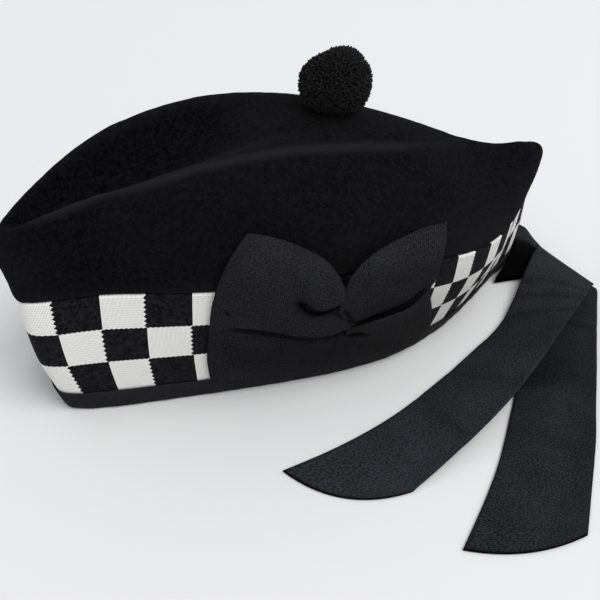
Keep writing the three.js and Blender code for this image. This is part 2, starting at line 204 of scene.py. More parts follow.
def crest_of(piece, passes):
    """A piece's points, and how far each stands out from what is round it, from 0 to 1."""
    shape = bmesh.new()
    shape.from_mesh(piece.data)
    pairs = np.array([[v.index for v in edge.verts] for edge in shape.edges])
    place = np.array([v.co for v in shape.verts])
    normal = np.array([v.normal for v in shape.verts])
    shape.free()
    count = np.bincount(pairs.ravel(), minlength=len(place))[:, None]

    def mean_of_neighbours(values):
        total = np.zeros_like(values)
        np.add.at(total, pairs[:, 0], values[pairs[:, 1]])
        np.add.at(total, pairs[:, 1], values[pairs[:, 0]])
        return total / count

    smooth = place
    for _ in range(passes):
        smooth = mean_of_neighbours(smooth)
    stand = ((place - smooth) * normal).sum(1, keepdims=True)
    for _ in range(passes // 2):
        stand = mean_of_neighbours(stand)
    return place, np.clip(stand[:, 0] / np.percentile(stand, 99), 0, 1)


felt_points, crest = crest_of(crown, CREST_PASSES)
away, along = near_line(felt_points, np.array(RIDGE_LINE) * MM)
ridge = np.exp(-((away / RIDGE_WIDTH) ** 2)) * rise(along, *RIDGE_FRONT)
ridge = ridge * (1 - RIDGE_FADE * rise(along, *RIDGE_BACK)) * RIDGE_HIGHLIGHT
# Lighter where the felt stands out, and a painted highlight along the ridge line
mark(crown, "crest_and_ridge_highlight", np.maximum(crest * CREST_LIGHTENING, ridge))


def new_material(name):
    material = bpy.data.materials.new(name)
    material.use_nodes = True
    tree = material.node_tree
    return material, tree, tree.nodes["Principled BSDF"]


def node(tree, kind, inputs=None, **settings):
    made = tree.nodes.new(kind)
    for key, value in settings.items():
        setattr(made, key, value)
    for key, value in (inputs or {}).items():
        if isinstance(value, bpy.types.NodeSocket):
            tree.links.new(value, made.inputs[key])
        else:
            made.inputs[key].default_value = value
    return made


def maths(tree, operation, first, second=0.0):
    return node(tree, "ShaderNodeMath", {0: first, 1: second}, operation=operation).outputs[0]


def times(tree, first, second):
    return maths(tree, "MULTIPLY", first, second)


def plus(tree, first, second):
    return maths(tree, "ADD", first, second)


def shared(tree, first, second, part):
    """A part of the first value, and the rest of the second."""
    return plus(tree, times(tree, first, part), times(tree, second, 1 - part))


def spread(tree, value, low, high):
    """Stretches what lies from low to high out to 0 and 1."""
    made = node(tree, "ShaderNodeMapRange", {"Value": value, "From Min": low, "From Max": high})
    return made.outputs["Result"]


def noise(tree, place, scale, detail, roughness=0.5, distortion=0.0):
    inputs = {"Vector": place, "Scale": scale, "Detail": detail, "Roughness": roughness}
    return node(tree, "ShaderNodeTexNoise", {**inputs, "Distortion": distortion}).outputs["Fac"]


def blend_colour(tree, factor, low, high):
    return node(tree, "ShaderNodeMix", {0: factor, 6: low, 7: high}, data_type="RGBA").outputs[2]


def marked(tree, name):
    return node(tree, "ShaderNodeAttribute", attribute_name=name).outputs["Fac"]


def new_group(name, inputs, outputs):
    """An empty effect with its sockets, and what goes in and comes out of it."""
    tree = bpy.data.node_groups.new(name, "ShaderNodeTree")
    for label, value in inputs.items():
        socket = tree.interface.new_socket(label, in_out="INPUT", socket_type="NodeSocketFloat")
        socket.default_value = value
    for label in outputs:
        tree.interface.new_socket(label, in_out="OUTPUT", socket_type="NodeSocketFloat")
    return tree, tree.nodes.new("NodeGroupInput").outputs, tree.nodes.new("NodeGroupOutput").inputs


def finish_cloth(tree, shader, colour, height, bump, smoother, rough, gloss, sheen):
    """Joins a cloth to its shader. The bump has a strength and a depth, the sheen a weight and
    a roughness, and the cloth is as rough as the first of two values, or the second where smoother is full."""
    raised = node(tree, "ShaderNodeBump", {"Height": height, "Strength": bump[0], "Distance": bump[1]})
    smoothed = node(tree, "ShaderNodeMapRange", {"Value": smoother, "To Min": rough[0], "To Max": rough[1]})
    tree.links.new(colour, shader.inputs["Base Color"])
    tree.links.new(smoothed.outputs["Result"], shader.inputs["Roughness"])
    tree.links.new(raised.outputs["Normal"], shader.inputs["Normal"])
    shader.inputs["Specular IOR Level"].default_value = gloss
    shader.inputs["Sheen Weight"].default_value = sheen[0]
    shader.inputs["Sheen Roughness"].default_value = sheen[1]


# Short crossed wool hairs: a height for bumps and a patchy shade, from 0 to 1
wool_hairs, into, out_of = new_group("wool_hairs", {"Size": 1.0}, ("Height", "Patch"))
object_place = node(wool_hairs, "ShaderNodeTexCoord").outputs["Object"]
fine_scale = maths(wool_hairs, "DIVIDE", HAIR_SCALE, into["Size"])
broad_scale = maths(wool_hairs, "DIVIDE", PATCH_SCALE, into["Size"])
hair = noise(wool_hairs, object_place, fine_scale, 5.0, 0.65, 0.8)
patch = noise(wool_hairs, object_place, broad_scale, 4.0, 0.6)
wool_hairs.links.new(hair, out_of["Height"])
wool_hairs.links.new(shared(wool_hairs, hair, patch, 0.5), out_of["Patch"])

felt, tree, shader = new_material("black_felt")
hairs = node(tree, "ShaderNodeGroup", {"Size": 1.0}, node_tree=wool_hairs).outputs
smoother = marked(tree, "crest_and_ridge_highlight")
dyed = blend_colour(tree, spread(tree, hairs["Patch"], 0.4, 0.6), FELT_DEEP, FELT_TIPS)
# The felt is lighter on its crests and has a painted highlight along the left ridge
colour = blend_colour(tree, smoother, dyed, FELT_CREST_AND_HIGHLIGHT)
finish_cloth(tree, shader, colour, hairs["Height"], bump=(0.5, 0.5 * MM), smoother=smoother, rough=(0.97, 0.85),
             gloss=0.02, sheen=(0.012, 0.45))
shader.inputs["Sheen Tint"].default_value = FELT_SHEEN
crown.data.materials.append(felt)
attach(crown, "root")
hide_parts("crown")

# Diced band
# A knitted wool band in black and white checks, three rows of them, worked in one with the
# crown's edge. The white yarn ends each check on its right in a row of teeth, a stitch deep.
KNIT_THICKNESS = 2.0 * MM
STEPS_PER_CHECK = 12
# The solid's own grid: checks round it, columns, heights between rows, its middle and its start.
# A face that looks up or down more than FLAT_FACE is part of its top or foot
CHECKS_ROUND = 38
COLUMNS_PER_CHECK = 2
ROW_LIMITS = (0.006, 0.022, 0.042, 0.060)
ROW_CHECKS = (-0.59, 0.0, 1.0, 2.0, 3.0)
FLAT_FACE = 0.8
BAND_MIDDLE = (-0.00786, 0.06357)
DICING_START = (-0.0959, 0.0274)
# The dicing's chart: a place along the solid's own checks, and the knitted check that is there
CHECK_AT = [
    (-3.5, -3.5), (-1.87, -2), (-0.98, -1), (-0.04, 0), (0.96, 1), (4.4, 4.5), (7.7, 9),
    (8.48, 10), (9.38, 11), (10.1, 12), (15.5, 18.5),
]
FRONT_TO_BACK = 19
KNITTED_ROUND = 44
# How far the near side of the back end is tucked under the felt, row by row, and set higher or lower
BACK_TUCK = 6.0 * MM
ROW_TUCK = (0, 0, 0.45, 0.8, 1.0)
BACK_RISE = 1.6 * MM
BACK_DROP = 1.5 * MM
# Where the tuck starts and is full, from front to back, and where the near side ends, in metres
TUCK_START, NEAR_SIDE_END = (0.07, 0.118), (0.058, 0.068)
TEETH_PER_CHECK = 7.0
TOOTH_DEPTH = 0.06
SCALLOP_DEPTH = 0.01
STITCHES_PER_CHECK = 18.0
COURSES_PER_CHECK = 14.0
TOP_OF_CHECKS = 2.99
WHITE_GAPS = (0.34, 0.335, 0.325, 1)
WHITE_YARN = (0.98, 0.97, 0.95, 1)
WHITE_HANDLED = (0.55, 0.54, 0.52, 1)
BLACK_GAPS = (0.0006, 0.0006, 0.0008, 1)
BLACK_YARN = (0.0188, 0.0193, 0.0217, 1)


def rows_of_solid():
    """The band's outer corners from its solid, row by row, each row in order round the cap."""
    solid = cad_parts["diced_band"].data
    rows = [{} for _ in ROW_CHECKS]
    for face in solid.polygons:
        outward = Vector((face.center.x - BAND_MIDDLE[0], face.center.y - BAND_MIDDLE[1], 0))
        if abs(face.normal.z) > FLAT_FACE or face.normal.dot(outward) < 0:
            continue
        for corner in face.vertices:
            place = solid.vertices[corner].co
            row = sum(place.z > limit for limit in ROW_LIMITS)
            rows[row][tuple(round(value, 5) for value in place)] = tuple(place)
    ordered = []
    for row in rows:
        points = np.array(list(row.values()))
        turn = np.arctan2(points[:, 1] - BAND_MIDDLE[1], points[:, 0] - BAND_MIDDLE[0])
        points = points[np.argsort(turn)]
        first = np.argmin(np.hypot(points[:, 0] - DICING_START[0], points[:, 1] - DICING_START[1]))
        ordered.append(np.roll(points, -first, axis=0))
    return np.array(ordered)


def spline(points, at, closed=False):
    """A smooth line through points, along the first axis, read at places counted in points."""
    count = len(points)
    low = np.floor(at).astype(int)
    if not closed:
        low = np.clip(low, 0, count - 2)
    part = (at - low).reshape(-1, *[1] * (points.ndim - 1))
    near = [low + step for step in (-1, 0, 1, 2)]
    if closed:
        a, b, c, d = (points[index % count] for index in near)
    else:
        before_first, after_last = 2 * points[:1] - points[1:2], 2 * points[-1:] - points[-2:-1]
        longer = np.concatenate([before_first, points, after_last])
        a, b, c, d = (longer[index + 1] for index in near)
    spans = (np.linalg.norm(q - p, axis=-1, keepdims=True) for p, q in ((a, b), (b, c), (c, d)))
    before, here, after = (np.sqrt(span) + 1e-9 for span in spans)
    leave = ((b - a) / before - (c - a) / (before + here) + (c - b) / here) * here
    arrive = ((c - b) / here - (d - b) / (here + after) + (d - c) / after) * here
    bend = 3 * (c - b) - 2 * leave - arrive + part * (2 * (b - c) + leave + arrive)
    return b + part * (leave + part * bend)


def quads(columns, rows, closed=False):
    """Faces of a grid whose points run row by row."""
    faces = []
    for row in range(rows - 1):
        low, high = row * columns, (row + 1) * columns
        for column in range(columns if closed else columns - 1):
            after = (column + 1) % columns
            faces.append((low + column, low + after, high + after, high + column))
    return faces


def ring_quads(columns, rows):
    """Faces of a ring with a closed section, whose last row joins its first."""
    count = columns * rows
    return [tuple(index % count for index in face) for face in quads(columns, rows + 1, closed=True)]


def mesh_piece(name, points, faces):
    mesh = bpy.data.meshes.new(name)
    mesh.from_pydata([tuple(point) for point in points], [], faces)
    mesh.update()
    piece = bpy.data.objects.new(name, mesh)
    scene.collection.objects.link(piece)
    bpy.ops.object.select_all(action="DESELECT")
    piece.select_set(True)
    bpy.context.view_layer.objects.active = piece
    return piece


def lay_flat(piece, name, columns, along, across):
    """Lays a piece's grid of points out flat. A ring has one more place along, to close it."""
    chart = piece.data.uv_layers.new(name=name)
    for face in piece.data.polygons:
        cells = [divmod(piece.data.loops[loop].vertex_index, columns) for loop in face.loop_indices]
        wraps = max(column for _, column in cells) - min(column for _, column in cells) > 1
        for loop, (row, column) in zip(face.loop_indices, cells):
            column += columns if wraps and column == 0 else 0
            chart.data[loop].uv = (along[column], across[row])


around = CHECKS_ROUND * STEPS_PER_CHECK
columns_at = np.arange(around) * COLUMNS_PER_CHECK / STEPS_PER_CHECK
fine_rows = np.array([spline(row, columns_at, closed=True) for row in rows_of_solid()])
near_side = 1 - rise(fine_rows[..., 1], *NEAR_SIDE_END)
tucked = rise(fine_rows[..., 0], *TUCK_START)
fine_rows[..., 0] -= BACK_TUCK * np.array(ROW_TUCK)[:, None] * tucked * near_side
fine_rows[-1, :, 2] += tucked[-1] * (BACK_RISE * near_side[-1] - BACK_DROP * (1 - near_side[-1]))
# Up the wall: the foot, halfway to the first check, and then the steps of each check
up = np.concatenate([[0, 0.5], np.linspace(1, 4, 3 * STEPS_PER_CHECK + 1)])
outer_face = spline(fine_rows, up)
along = np.roll(outer_face, -1, axis=1) - np.roll(outer_face, 1, axis=1)
outward = np.stack([along[..., 1], -along[..., 0], np.zeros(along.shape[:2])], axis=-1)
outward /= np.linalg.norm(outward, axis=-1, keepdims=True)
inner_face = (outer_face - KNIT_THICKNESS * outward)[::-1]
wall = np.concatenate([outer_face, inner_face])
band = mesh_piece("diced_band_knit", wall.reshape(-1, 3), ring_quads(around, len(wall)))
place_along, check_along = np.array(CHECK_AT).T
place_round = np.concatenate(
    [place_along, 2 * place_along[-1] - place_along[-2::-1], place_along[1:] + 2 * FRONT_TO_BACK])
check_round = np.concatenate(
    [check_along, 2 * check_along[-1] - check_along[-2::-1], check_along[1:] + KNITTED_ROUND])
knitted_along = np.interp(np.arange(around + 1) / STEPS_PER_CHECK, place_round, check_round)
knitted_up = np.interp(up, range(len(ROW_CHECKS)), ROW_CHECKS)
lay_flat(band, "knit", around, knitted_along, np.concatenate([knitted_up, knitted_up[::-1]]))
bpy.ops.object.shade_smooth()


def arches(tree, value):
    """A row of rounded arches, one to each whole number."""
    return maths(tree, "ABSOLUTE", maths(tree, "SINE", times(tree, value, math.pi)))


knit, tree, shader = new_material("diced_knit")
chart = node(tree, "ShaderNodeUVMap", uv_map="knit").outputs["UV"]
spot = node(tree, "ShaderNodeSeparateXYZ", {0: chart}).outputs
across, climb = spot["X"], spot["Y"]
# Which check a place is in, white or black
wave = maths(tree, "SINE", times(tree, across, math.pi * STITCHES_PER_CHECK))
within = maths(tree, "MINIMUM", plus(tree, climb, times(tree, wave, SCALLOP_DEPTH)), TOP_OF_CHECKS)
row = maths(tree, "FLOOR", maths(tree, "MAXIMUM", within, 0.0))
pair = maths(tree, "FRACT", times(tree, plus(tree, across, row), 0.5))
place_in_pair = times(tree, pair, 2.0)
tooth = maths(tree, "PINGPONG", times(tree, climb, TEETH_PER_CHECK), 0.5)
tooth_edge = maths(tree, "SUBTRACT", 2.0, times(tree, tooth, 2 * TOOTH_DEPTH))
after_left = maths(tree, "GREATER_THAN", place_in_pair, 1.0)
before_teeth = maths(tree, "LESS_THAN", place_in_pair, tooth_edge)
white = times(tree, after_left, before_teeth)
# The stitches' loops
half_stitch = maths(tree, "PINGPONG", times(tree, across, STITCHES_PER_CHECK), 0.5)
rib = maths(tree, "ABSOLUTE", maths(tree, "SINE", times(tree, half_stitch, 2 * math.pi)))
loop_round = arches(tree, plus(tree, times(tree, climb, COURSES_PER_CHECK), half_stitch))
loop_height = plus(tree, times(tree, maths(tree, "POWER", loop_round, 0.6), 0.45), 0.55)
stitch = times(tree, maths(tree, "POWER", rib, 0.6), loop_height)
# The two yarns
hairs = node(tree, "ShaderNodeGroup", {"Size": 1.15}, node_tree=wool_hairs).outputs
# The gaps between the loops take the darker colours, as painted shade in the hollows
white_yarn = blend_colour(tree, stitch, WHITE_GAPS, WHITE_YARN)
white_yarn = blend_colour(tree, times(tree, hairs["Patch"], 0.25), white_yarn, WHITE_HANDLED)
fuzz = times(tree, stitch, spread(tree, hairs["Patch"], 0.42, 0.58))
black_yarn = blend_colour(tree, fuzz, BLACK_GAPS, BLACK_YARN)
colour = blend_colour(tree, white, black_yarn, white_yarn)
relief = plus(tree, stitch, times(tree, hairs["Height"], 0.5))
finish_cloth(tree, shader, colour, relief, bump=(0.55, 0.5 * MM), smoother=stitch, rough=(0.98, 0.9),
             gloss=0.05, sheen=(0.02, 0.5))
band.data.materials.append(knit)
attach(band, "root")
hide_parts("diced_band")

# Edge binding
# A strip of black ribbed ribbon, folded lengthwise over the raw foot of the band so that as
# much shows inside as outside, and sewn through both layers.
BINDING_PULL = 0.12 * MM
PULL_WAVES = ((0.9, 0), (0.37, 1))
OUTER_ROWS = slice(2, 8)
UNEVEN_SCALE = 260.0
SPECK_SCALE = 1050.0
CLOUD_SCALE = 60.0
BINDING_DEEP = (0.009, 0.009, 0.0096, 1)
BINDING_RIBS = (0.0195, 0.0195, 0.0214, 1)
RIBBON_SINGED_AND_SHADE = (0.0006, 0.0006, 0.0007, 1)
# The binding's section, in mm: how far out from the band's face, and the height
BINDING_SECTION = [
    (0.4, 12.6), (0.75, 12.95), (1.15, 12.5), (1.2, 10.5), (1.2, 8), (1.2, 5), (1.15, 2.6), (0.9, 1.1),
    (0.4, 0.3), (-0.4, 0), (-1.6, 0), (-2.4, 0.3), (-2.95, 1.1), (-3.2, 2.6), (-3.2, 5), (-3.2, 8),
    (-3.2, 10.5), (-3.15, 12.5), (-2.8, 12.95), (-2.5, 12.6), (-2.45, 10), (-2.45, 5), (-2.4, 1.6),
    (-2.1, 0.95), (-1, 0.85), (0.1, 0.95), (0.4, 1.6), (0.45, 5), (0.45, 10),
]
foot, above_foot = fine_rows[:2]
ring = []
for stand, height in BINDING_SECTION:
    climbed = (height * MM - foot[:, 2:]) / (above_foot[:, 2:] - foot[:, 2:])
    line = foot + climbed * (above_foot - foot) + stand * MM * outward[0]
    line[:, 2] = height * MM
    ring.append(line)
ring = np.array(ring)
waver = sum(np.sin(np.arange(around) * rate + shift) for rate, shift in PULL_WAVES)
ring[OUTER_ROWS] += (BINDING_PULL * waver)[None, :, None] * outward[0]
faces = [face[::-1] for face in ring_quads(around, len(ring))]
binding = mesh_piece("edge_binding_ribbon", ring.reshape(-1, 3), faces)


def lengths_along(points):
    """How far along a line of points each one is."""
    return np.concatenate([[0], np.cumsum(np.linalg.norm(np.diff(points, axis=0), axis=-1))])


round_rim = lengths_along(np.concatenate([foot, foot[:1]]))
lay_flat(binding, "ribbon", around, round_rim, lengths_along(np.array(BINDING_SECTION)) * MM)
bpy.ops.object.shade_smooth()

# Ribbed ribbon: fine cords across its length, as a height and a mottled shade, from 0 to 1
ribbed_ribbon, into, out_of = new_group("ribbed_ribbon", {"Rib Pitch": 0.9 * MM}, ("Height", "Shade"))
chart = node(ribbed_ribbon, "ShaderNodeUVMap", uv_map="ribbon").outputs["UV"]
spot = node(ribbed_ribbon, "ShaderNodeSeparateXYZ", {0: chart}).outputs
uneven = maths(ribbed_ribbon, "SUBTRACT", noise(ribbed_ribbon, chart, UNEVEN_SCALE, 3.0), 0.5)
ribs = maths(ribbed_ribbon, "DIVIDE", spot["X"], into["Rib Pitch"])
ribs = plus(ribbed_ribbon, ribs, times(ribbed_ribbon, uneven, 0.9))
threads = maths(ribbed_ribbon, "DIVIDE", spot["Y"], times(ribbed_ribbon, into["Rib Pitch"], 0.6))
threads = plus(ribbed_ribbon, threads, times(ribbed_ribbon, ribs, 0.5))
cords = maths(ribbed_ribbon, "POWER", arches(ribbed_ribbon, ribs), 0.7)
height = shared(ribbed_ribbon, cords, arches(ribbed_ribbon, threads), 0.75)
speck = noise(ribbed_ribbon, chart, SPECK_SCALE, 2.0, 0.7)
cloud = noise(ribbed_ribbon, chart, CLOUD_SCALE, 3.0)
mottle = spread(ribbed_ribbon, shared(ribbed_ribbon, speck, cloud, 0.85), 0.43, 0.59)
# Darker in the grooves between cords, as painted shade, and mottled at random
shade = spread(ribbed_ribbon, shared(ribbed_ribbon, height, mottle, 0.5), 0.3, 0.8)
ribbed_ribbon.links.new(height, out_of["Height"])
ribbed_ribbon.links.new(shade, out_of["Shade"])


def ribbon_material(name, pitch, deep, ribs, sheen):
    material, tree, shader = new_material(name)
    weave = node(tree, "ShaderNodeGroup", {"Rib Pitch": pitch}, node_tree=ribbed_ribbon).outputs
    colour = blend_colour(tree, weave["Shade"], deep, ribs)
    # Near black where marked: the tails' singed ends, and painted shade in the bow's folds and on the tails'
    # root and creases
    colour = blend_colour(tree, marked(tree, "singed_ends_and_painted_shade"), colour, RIBBON_SINGED_AND_SHADE)
    finish_cloth(tree, shader, colour, weave["Height"], bump=(0.5, 0.25 * MM), smoother=weave["Shade"],
                 rough=(0.72, 0.56), gloss=0.01, sheen=(sheen, 0.4))
    return material


binding_ribbon = ribbon_material("binding_ribbon", 1.0 * MM, BINDING_DEEP, BINDING_RIBS, 0.012)
binding.data.materials.append(binding_ribbon)
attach(binding, "root")
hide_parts("edge_binding")

# Bow
# A wide black ribbed ribbon laid along the left of the band, drawn in at its middle and
# tacked down. Its upper half opens into a petal to each side. The front petal is pleated and
# lies over the lower half, and its inner end rolls over the back petal's.
BOW_GRAIN = 0.9
BOW_THICKNESS = 0.7 * MM
BOW_DEEP = (0.0064, 0.0064, 0.0067, 1)
BOW_RIBS = (0.0191, 0.0193, 0.0213, 1)
# How a panel's end turns under: how far in along its first span, and how deep in mm
FOLD_UNDER = ((-0.06, 0.75), (0.12, 1.45), (0.9, 1.55))
# Points in mm: rows run from the foot up, and in each row from the front of the cap back
BOW_LOWER = [
    [(-71.8, 19.8, 14.5), (-61.1, 17.4, 13.4), (-48, 14.9, 12.4), (-34, 12.8, 11.5), (-19.6, 11.3, 9.5),
     (-7, 10.3, 9.1), (7.1, 9.7, 9.1), (23.6, 10.8, 7.9), (35.8, 13.3, 7.7), (43.5, 12.8, 15.7)],
    [(-72.8, 19, 29), (-62, 15, 30), (-49, 12.3, 27.6), (-34.9, 10.3, 25.5), (-20.2, 9.2, 21.7),
     (-7.6, 8.4, 19.7), (4.1, 6.9, 21), (19.3, 6.7, 21.9), (31, 8.7, 21.4), (41.1, 9.6, 27.5)],
    [(-72.2, 17.3, 41.7), (-62, 13.2, 43), (-49.8, 10.3, 39.9), (-35.6, 8.2, 36.6), (-21.2, 7, 32.4),
     (-9, 6.1, 30.1), (1.7, 3.1, 32.3), (15.4, 1.9, 35.2), (26.4, 3.3, 35.4), (37.1, 4.9, 41)],
    [(-70.2, 15.8, 59.5), (-59.8, 12.6, 62.3), (-48.5, 9.9, 57.1), (-35.2, 7.9, 51.7), (-20.8, 6.1, 44.3),
     (-8.1, 4.3, 40.7), (-0.5, -1.2, 45.8), (11.7, -2.6, 48.2), (22.3, -1.2, 48.6), (31.9, 0.9, 54.5)],
]
BOW_FRONT_PETAL = [
    [(-71.8, 15.7, 50.1), (-66.9, 12.8, 52.8), (-61.1, 9.6, 55.2), (-53.4, 7.1, 54.1), (-44.2, 4.8, 51),
     (-35, 3.3, 46.7), (-26.6, 1.8, 44.4), (-18.4, 1, 43.1), (-12.5, 0.5, 44), (-7.5, 0.4, 45.9)],
    [(-71, 15, 59.2), (-66.2, 11.7, 62.3), (-60.2, 8, 65.2), (-52.8, 5.1, 65.2), (-44.5, 2.2, 63.2),
     (-35.6, 0.3, 59.7), (-27.3, -0.7, 55.8), (-20, -1.1, 52.9), (-14.5, -1.1, 52.3), (-9.3, -0.9, 51.5)],
    [(-69.6, 14.3, 68.5), (-64.6, 10.5, 73), (-58.3, 6.7, 75.8), (-51.1, 3.6, 75.4), (-43.3, 1.1, 72.2),
     (-36, -0.5, 66.6), (-28.1, -0.3, 59.4), (-22.7, -0.3, 56.9), (-17.7, -1.2, 58.5), (-12.6, -1.9, 60.5)],
    [(-68.5, 13.8, 73.3), (-63.7, 9.5, 78.1), (-57.5, 5.8, 80.9), (-50.3, 3, 80.3), (-42.7, 0.6, 76.9),
     (-35.2, -1.1, 72.3), (-27.5, 0.3, 67.2), (-22.1, 0.4, 66.6), (-17, -0.1, 67.1), (-11.7, -0.5, 66.3)],
    [(-67.6, 13.1, 77.7), (-62.5, 9.7, 82.2), (-56.3, 6, 85.5), (-49.4, 2.5, 84.9), (-42.2, 0, 81.8),
     (-35, -1.7, 75), (-29.2, -3.9, 68.1), (-24.5, -5.3, 66.2), (-19.6, -6.2, 67.4), (-14.4, -6.4, 69.1)],
    [(-62.6, 13.8, 88.1), (-57.9, 11, 92.1), (-52.5, 8, 94.4), (-46.6, 4.7, 93.5), (-40.5, 1.6, 91.2),
     (-34.3, -1.2, 87.6), (-28.6, -4.3, 83.7), (-23.6, -4.9, 79.1), (-19.1, -5.5, 75.8), (-14.2, -5.6, 72.5)],
    [(-57.3, 14.9, 95.6), (-52.9, 13.1, 97.2), (-47.9, 10.6, 97.9), (-42.6, 7.8, 97), (-36.9, 4.9, 94.7),
     (-31.5, 2.4, 91.7), (-26.5, -0.2, 88.3), (-22.6, -2.2, 84.6), (-18.2, -3.2, 79.4), (-14, -3.3, 74.7)],
    [(-51.1, 16.4, 101.6), (-47.5, 15.3, 101), (-43.5, 13.9, 99.9), (-38.3, 11.9, 98.1), (-32.8, 9.5, 95.7),
     (-27.8, 7, 92.9), (-23, 4.8, 89.8), (-19.7, 2.4, 86.9), (-16.5, -0.3, 81.8), (-12.5, -1.7, 72.3)],
]
BOW_BACK_PETAL = [
    [(-6.7, 7.7, 30.5), (-0.3, 7.6, 28.2), (7, 7.1, 28.8), (15.9, 6.6, 30.1),
     (25.5, 6.5, 32.2), (32.6, 6.8, 34.9), (37.1, 5.9, 40.8)],
    [(-10.2, 1.5, 48.5), (-3.3, 2.6, 45.1), (4.2, 3, 44), (13, 2.7, 44.8),
     (22.1, 2.3, 47), (28.7, 2.1, 50), (33.8, 1.7, 55.1)],
    [(-13.6, -2.3, 55.5), (-6.3, -1, 52.5), (1.6, -0.4, 53), (10.3, -0.3, 53.8),
     (20, -0.5, 55.1), (27.1, -0.4, 58.3), (35.5, 0.9, 60.2)],
    [(-16.2, -3.3, 60.4), (-8.7, -3.2, 60.2), (-0.7, -2.9, 62.2), (8.3, -2.9, 64),
     (17.9, -2.8, 65.1), (26.5, -1.9, 66.5), (36, -0.3, 68.3)],
    [(-16.1, -4, 64.1), (-9.6, -4.5, 68.3), (-1.3, -4, 72.3), (7.4, -4.1, 74.9),
     (16.8, -4, 76.6), (25.6, -3.4, 77.5), (37.1, -0.1, 77.4)],
    [(-15.6, -3.7, 66.6), (-9.6, -3.8, 73.6), (-1.7, -3.9, 80.3), (8, -2.8, 82.5),
     (17.9, -1.7, 83.7), (27.9, 0.2, 83.4), (39.8, 3.5, 82.1)],
    [(-14.7, -2.7, 69.1), (-9.9, -0.9, 77.3), (-2.1, 0.8, 83.9), (8.5, 3.1, 87),
     (19.3, 5, 88.4), (30.4, 6.9, 88.7), (41.9, 8.4, 87.2)],
]
# Dents seen from the side: from, to, depth and width, in mm
BOW_DENTS = {
    "bow_lower": [
        ((-12.3, 38.5), (-0.1, 34.1), 3.2, 1.9), ((-12.6, 33), (-16.5, 19), 1.2, 2.0),
        ((-7.5, 33.5), (0.5, 22), 0.9, 2.2), ((-42, 36), (-30, 20), 0.7, 3.0),
        ((-64.6, 39.4), (-64.6, 39.3), 1.1, 2.2), ((-35.7, 40.1), (-20, 34), 0.7, 2.2),
    ],
    "bow_front_petal": [
        ((-35.5, 64.2), (-30.5, 69.7), 0.9, 1.3), ((-18.3, 61.3), (-8, 48.9), 1.2, 1.5),
        ((-64.3, 64.2), (-64.3, 64.1), 1.1, 2.2),
    ],
    "bow_back_petal": [((-8, 56), (12, 68), 0.8, 1.6), ((-6, 66), (4, 80), 0.6, 1.5)],
}
# Painted shade in the folds and over the lower panel, seen from the side: points and width in mm, and how
# dark
BOW_SHADE = {
    "bow_lower": [
        ([(-59.9, 51.7), (-52.7, 49.3), (-43, 45.1), (-33.4, 40.1), (-24.5, 36.9), (-16.1, 35.6),
          (-10.3, 36.9)], 1.9, 0.75),
        ([(-12.6, 39.2), (-6.1, 34.7), (1, 34.6)], 1.7, 0.9),
        ([(-12.8, 32.5), (-15.6, 21.5)], 1.4, 0.4),
        ([(-58, 32), (-20, 24), (30, 24)], 15, 0.3),
        ([(-64.6, 39.4), (-64.4, 38.8)], 1.1, 0.7),
    ],
    "bow_front_petal": [
        ([(-34.5, 70.1), (-31.2, 64.4), (-26.6, 60.3), (-22.2, 59.5), (-18.6, 61.4), (-15.1, 63.5),
          (-11.5, 66.2)], 1.8, 1.0),
        ([(-20.5, 59.8), (-17.2, 60.9), (-14, 62.4), (-11.6, 64.6)], 1.6, 0.95),
        ([(-14.5, 58.6), (-8.2, 48.6)], 0.8, 0.8),
        ([(-35.5, 64.2), (-30.5, 69.7)], 0.7, 0.6),
        ([(-64.3, 64.2), (-64.1, 63.6)], 1.1, 0.7),
    ],
    "bow_back_petal": [
        ([(-3.1, 44.3), (3.8, 45.5), (12.2, 47.1), (21.1, 49.9), (28.7, 56.2)], 2.0, 0.95),
        ([(-13, 60), (-9.5, 53.5), (-6, 46.5)], 1.1, 0.85),
    ],
}
SIDE_VIEW = [0, 2]


def stations(lines, grain):
    """Places along the first axis about one grain apart, counted in points."""
    spans = np.linalg.norm(np.diff(lines, axis=0), axis=-1).max(1)
    parts = np.maximum(2, np.ceil(spans / grain)).astype(int)
    return np.concatenate([k + np.arange(n) / n for k, n in enumerate(parts)] + [[len(lines) - 1]])


def folded_end(rough, end, inner):
    """Extra columns that turn a panel's end under itself."""
    edge = rough[:, end]
    inward = rough[:, inner] - edge
    return [edge + inward * along + np.array([0, deep, -deep]) for along, deep in FOLD_UNDER]


def mean_lengths(points, axis):
    """How far along a grid of points each row or column is, on average."""
    spans = np.linalg.norm(np.diff(points, axis=axis), axis=-1).mean(1 - axis)
    return np.concatenate([[0], np.cumsum(spans)])


